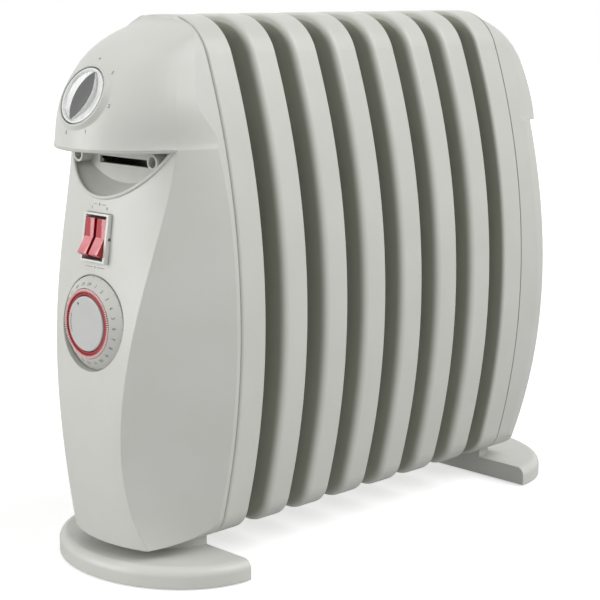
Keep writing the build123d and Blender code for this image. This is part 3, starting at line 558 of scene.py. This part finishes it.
def inRecess(spot):  # below the lip, at the front and clear of the two bosses
    bossX, bossZ = coverTrim["boss"]
    fromBoss = (abs(spot.x) - bossX) ** 2 + (spot.z - bossZ) ** 2
    inHeight = coverTrim["rimLow"] < spot.z < coverTrim["lipHeight"] - coverTrim["rimBelowLip"]
    return inHeight and spot.y <= -coverTrim["rimReach"] and fromBoss >= coverTrim["bossRadius"] ** 2


def rimPoints():  # edges between the panel's face and the wall of the recess
    places = set()
    for edge in coverBm.edges:
        middle = (edge.verts[0].co + edge.verts[1].co) / 2
        if not inRecess(middle) or not sharpEdge(edge):
            continue
        outer, wall = sorted((face.normal for face in edge.link_faces), key=lambda normal: normal.y)
        meet = outer.y < -coverTrim["faceTurn"] < wall.y
        if meet and (wall.z > coverTrim["floorTurn"] or wall.x * middle.x < 0.0):
            places.update(tuple(vert.co) for vert in edge.verts)
    return sorted(places)


def evenPoints(places):  # points at even steps along a row
    row = [Vector(places[0])]
    for place in places[1:]:
        if (Vector(place) - row[-1]).length > coverTrim["step"]:
            row.append(Vector(place))
    return row


def addBead(points, radius, name):
    curve = bpy.data.curves.new(name, "CURVE")
    curve.dimensions = "3D"
    curve.bevel_depth = radius
    curve.bevel_resolution = coverTrim["smooth"]
    curve.use_fill_caps = True
    curve.resolution_u = coverTrim["smooth"]
    spline = curve.splines.new("NURBS")
    spline.points.add(len(points) - 1)
    for point, place in zip(spline.points, points):
        point.co = (*place, 1.0)
    spline.order_u = 4  # cubic
    spline.use_endpoint_u = True
    bm = bmesh.new()
    takeMesh(bm, asMesh(curve, name))
    addPiece(bm, name, "heater", finishes["cover_plastic"])


def buildTrim():
    lip = evenPoints(lipPoints())
    inner = []
    for place, before, after in zip(lip, [lip[0], *lip], [*lip[1:], lip[-1]]):
        along = (after - before).normalized()
        inner.append(place + Vector((-along.y, along.x, 0.0)) * coverTrim["lipRadius"])
    addBead(inner, coverTrim["lipRadius"], "visorLip")
    addBead(evenPoints(rimPoints()), coverTrim["rimRadius"], "recessBead")


buildTrim()
print("visor's lip and recess's bead built")

# thermostat knob: dished disc with a pointed oval grip

knobShape = {
    "radius": 0.01835, "thickness": 0.0052, "rim": 0.0012, "edge": 0.0005, "edgeRound": 0.00015,
    "dish": 0.0030, "flat": 0.55,  # share of the dish that is flat
    "gripHalf": 0.0084, "gripEnd": 0.0170, "gripTop": -0.0001, "gripDraft": 0.95, "gripEdge": 0.0004,
    "insetHalf": 0.0077, "insetEnd": 0.0163, "insetLow": -0.0008, "insetTop": 0.0001,
    "insetDraft": 0.99, "insetEdge": 0.0002,
    "turn": 76.0, "steps": 96, "arcSteps": 24,
}
silverLook = {
    "tone": (0.82, 0.83, 0.82), "darker": (0.62, 0.63, 0.62), "rough": (0.22, 0.34),
    "streaks": (1 / 20, 1 / 900, 1 / 900), "detail": 3.0, "strength": 0.3, "depth": 0.0001,
}
knobPlace = jointPlace("thermostat_turn")
gripPlace = knobPlace @ Matrix.Rotation(radians(knobShape["turn"]), 4, "Z")


def streakedSilver():  # fine lines along the grip
    finish, tree, shader, place = newFinish("knobStreaks", silverLook["rough"][0])
    mapping = tree.nodes.new("ShaderNodeMapping")
    mapping.vector_type = "TEXTURE"
    mapping.inputs["Rotation"].default_value = gripPlace.to_euler()
    mapping.inputs["Scale"].default_value = silverLook["streaks"]
    tree.links.new(place, mapping.inputs["Vector"])
    streaks = noiseOn(tree, mapping.outputs["Vector"], 1.0, silverLook["detail"])
    silver = rampOn(tree, streaks, silverLook["darker"], silverLook["tone"])
    tree.links.new(silver, shader.inputs["Base Color"])
    tree.links.new(rangeOn(tree, streaks, noiseSpan, silverLook["rough"]), shader.inputs["Roughness"])
    bumpOn(tree, streaks, shader, silverLook["strength"], silverLook["depth"])
    return finish


def spunDisc(profile, steps):  # (radius, height) points turned round z
    bm = bmesh.new()
    verts = [bm.verts.new((radius, 0.0, height)) for radius, height in profile]
    edges = [bm.edges.new(pair) for pair in zip(verts, verts[1:])]
    bmesh.ops.spin(
        bm, geom=verts + edges, cent=(0, 0, 0), axis=(0, 0, 1), angle=2 * pi, steps=steps, use_merge=True
    )
    bmesh.ops.remove_doubles(bm, verts=bm.verts, dist=mergeGap)
    return bm


def lensBlock(end, half, low, high, draft, width):  # pointed oval of two arcs, raised, in its place
    bm = bmesh.new()
    arc = (end ** 2 + half ** 2) / (2 * half)
    for side in (1, -1):
        start = bm.verts.new((-side * end, 0.0, low))
        bmesh.ops.spin(
            bm, geom=[start], cent=(0, side * (half - arc), 0), axis=(0, 0, 1),
            angle=-2 * asin(end / arc), steps=knobShape["arcSteps"],
        )
    bmesh.ops.remove_doubles(bm, verts=bm.verts, dist=mergeGap)
    bmesh.ops.contextual_create(bm, geom=bm.edges[:])
    raised = bmesh.ops.extrude_face_region(bm, geom=bm.faces[:])["geom"]
    topVerts = [item for item in raised if isinstance(item, bmesh.types.BMVert)]
    bmesh.ops.translate(bm, verts=topVerts, vec=(0, 0, high - low))
    bmesh.ops.scale(bm, verts=topVerts, vec=(draft, draft, 1.0))
    roundEdges(bm, [edge for edge in bm.edges if all(vert in topVerts for vert in edge.verts)], width)
    bmesh.ops.transform(bm, verts=bm.verts, matrix=gripPlace)
    return bm


def buildKnob():
    radius, edge, dish = knobShape["radius"], knobShape["edge"], knobShape["dish"]
    inner, edgeRound = radius - knobShape["rim"], knobShape["edgeRound"]
    bm = spunDisc([
        (0.0, -knobShape["thickness"]), (radius, -knobShape["thickness"]), (radius, -edge),
        (radius - edgeRound, -edgeRound), (radius - edge, 0.0), (inner, 0.0), (inner - edge, -edge),
        (inner - 2 * edge, -3 * edge), (inner * knobShape["flat"], -dish), (0.0, -dish),
    ], knobShape["steps"])
    bmesh.ops.transform(bm, verts=bm.verts, matrix=gripPlace)
    grip = lensBlock(
        knobShape["gripEnd"], knobShape["gripHalf"], -dish, knobShape["gripTop"],
        knobShape["gripDraft"], knobShape["gripEdge"],
    )
    bmesh.ops.recalc_face_normals(grip, faces=grip.faces)
    gripMesh = bpy.data.meshes.new("gripMesh")
    grip.to_mesh(gripMesh)
    grip.free()
    takeMesh(bm, gripMesh)
    body = addPiece(bm, "knobBody", "knob", streakedSilver())
    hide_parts("thermostat_knob")
    inset = lensBlock(
        knobShape["insetEnd"], knobShape["insetHalf"], knobShape["insetLow"], knobShape["insetTop"],
        knobShape["insetDraft"], knobShape["insetEdge"],
    )
    insetPiece = addPiece(inset, "knobInset", "knob", finishes["knob_grey"])
    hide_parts("knob_grip")


buildKnob()
print("knob built")

# printed marks round the knob

knobMarks = {
    "ring": 0.0248, "size": 0.0033, "marks": {"3": 47.0, "2": 100.0, "1": 153.0, "0": 196.0},
    "dotAt": 3.0, "dotRing": 0.0256, "dotRadius": 0.00075, "dotSides": 16,
}


def roundKnob(angle, reach):  # a place at an angle from the top, clockwise
    turn = radians(angle)
    return Matrix.Translation(Vector((sin(turn), cos(turn), 0.0)) * reach)


def buildKnobMarks():
    bm = bmesh.new()
    for text, angle in knobMarks["marks"].items():
        addWords(bm, text, knobMarks["size"], roundKnob(angle, knobMarks["ring"]))
    dotPlace = roundKnob(knobMarks["dotAt"], knobMarks["dotRing"])
    addSpot(bm, knobMarks["dotRadius"], knobMarks["dotSides"], dotPlace)
    layOnCover(bm, knobPlace)
    addPiece(bm, "knobMarks", "heater", printInk)


buildKnobMarks()
print("knob's marks printed")

# rockers and their frame with rounded edges

softSwitch = {
    "flat": 2.0, "corner": 25.0, "sharp": 18.0,  # angles in degrees
    "pieces": {  # solid: piece, width of its rounded edges
        "rocker_left": ("rockerLeft", 0.0004),
        "rocker_right": ("rockerRight", 0.0004),
        "switch_housing": ("switchFrame", 0.0003),
    },
}


def softCopy(node, name, width):
    bm = bmesh.new()
    bm.from_mesh(nodes[node].data)
    bmesh.ops.remove_doubles(bm, verts=bm.verts, dist=mergeGap)
    bmesh.ops.dissolve_limit(bm, angle_limit=radians(softSwitch["flat"]), verts=bm.verts, edges=bm.edges)
    corner = radians(softSwitch["corner"])
    roundEdges(bm, [edge for edge in bm.edges if edge.calc_face_angle(0.0) > corner], width)
    body = nodes[node]["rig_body"]
    finish = nodes[node].material_slots[0].material
    soft = addPiece(bm, name, body, finish, softSwitch["sharp"])
    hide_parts(node)


for softNode, (softName, softWidth) in softSwitch["pieces"].items():
    softCopy(softNode, softName, softWidth)

# printed marks round the switch

switchMarks = {
    "tilt": 9.0, "pivotDepth": 0.0025, "above": 0.0188, "below": 0.0186,
    "size": 0.0027, "lowSize": 0.00216, "side": 0.0075, "rise": 0.0022, "line": 0.0003,
    "topBar": (0.0042, 0.0036), "lowBar": (0.0058, 0.0075),  # from the middle, length
}


def buildSwitchMarks():
    tilt = radians(switchMarks["tilt"])
    out = Vector((0.0, -cos(tilt), sin(tilt)))
    place = placeOn(Vector(joints["rocker_left_tilt"]["pos_m"]) + out * switchMarks["pivotDepth"], out)
    above, below, side = switchMarks["above"], switchMarks["below"], switchMarks["side"]
    high = above + switchMarks["rise"]
    bm = bmesh.new()
    for text, across, up in (("I", -side, above), ("0", 0.0, high), ("II", side, above)):
        addWords(bm, text, switchMarks["size"], Matrix.Translation((across, up, 0.0)))
    for (across, length), up in ((switchMarks["topBar"], high), (switchMarks["lowBar"], -below)):
        for way in (-1, 1):
            addBar(bm, length, switchMarks["line"], Matrix.Translation((way * across, up, 0.0)))
    addWords(bm, "0", switchMarks["lowSize"], Matrix.Translation((0.0, -below, 0.0)))
    layOnCover(bm, place)
    addPiece(bm, "switchMarks", "heater", printInk)


buildSwitchMarks()
print("switch dressed")

# numbers and ticks on the timer's ring, arrow and arc on its middle

dialMarks = {
    "outer": (0.0298, -0.0023), "inner": (0.0225, 0.0036), "lift": 0.00003,  # radius, height
    "hours": 24, "size": 0.0034, "numberAt": 0.36,
    "tickAt": 0.93, "tickLength": 0.0008, "tickWidth": 0.00022,
    "middleTop": 0.00462,
    "arrowAt": (122.0, 0.0142), "arrowRadius": 0.0013, "arrowTurn": 62.0, "arrowSides": 3,
    "arc": (160.0, 205.0), "arcRadius": 0.0150, "arcHalf": 0.00025, "arcSteps": 20,
}
dialPlace = jointPlace("timer_turn")


def onRing(share, angle):  # a place on the sloping ring, y pointing outwards
    (outR, outZ), (inR, inZ) = dialMarks["outer"], dialMarks["inner"]
    radius = inR + (outR - inR) * share
    height = inZ + (outZ - inZ) * share
    slope = atan2(outZ - inZ, outR - inR)
    lean = Matrix.Translation((0.0, radius, height + dialMarks["lift"])) @ Matrix.Rotation(slope, 4, "X")
    return dialPlace @ Matrix.Rotation(-angle, 4, "Z") @ lean


def buildDialNumbers():
    bm = bmesh.new()
    for hour in range(dialMarks["hours"]):
        turn = 2 * pi * hour / dialMarks["hours"]
        addWords(bm, str(hour or dialMarks["hours"]), dialMarks["size"], onRing(dialMarks["numberAt"], turn))
        addBar(bm, dialMarks["tickWidth"], dialMarks["tickLength"], onRing(dialMarks["tickAt"], turn))
    addPiece(bm, "dialNumbers", "timer_dial", printInk)


def buildTimerArrow():
    bm = bmesh.new()
    start, end = dialMarks["arc"]
    section = Matrix.Rotation(radians(start), 4, "Z") @ Matrix.Translation((dialMarks["arcRadius"], 0.0, 0.0))
    half, rise = dialMarks["arcHalf"], printing["half"]
    corners = ((-half, -rise), (half, -rise), (half, rise), (-half, rise))
    ends = [bm.verts.new(section @ Vector((across, 0.0, up))) for across, up in corners]
    face = bm.faces.new(ends)
    bmesh.ops.spin(
        bm, geom=[face, *face.edges, *ends], cent=(0, 0, 0), axis=(0, 0, 1),
        angle=radians(end - start), steps=dialMarks["arcSteps"],
    )
    angle, reach = dialMarks["arrowAt"]
    spot = Vector((cos(radians(angle)), sin(radians(angle)), 0.0)) * reach
    turned = Matrix.Rotation(radians(dialMarks["arrowTurn"]), 4, "Z")
    addSpot(bm, dialMarks["arrowRadius"], dialMarks["arrowSides"], Matrix.Translation(spot) @ turned)
    lift = Matrix.Translation((0.0, 0.0, dialMarks["middleTop"]))
    bmesh.ops.transform(bm, verts=bm.verts, matrix=dialPlace @ lift)
    addPiece(bm, "timerArrow", "heater", printInk)


buildDialNumbers()
buildTimerArrow()
print("timer dressed")
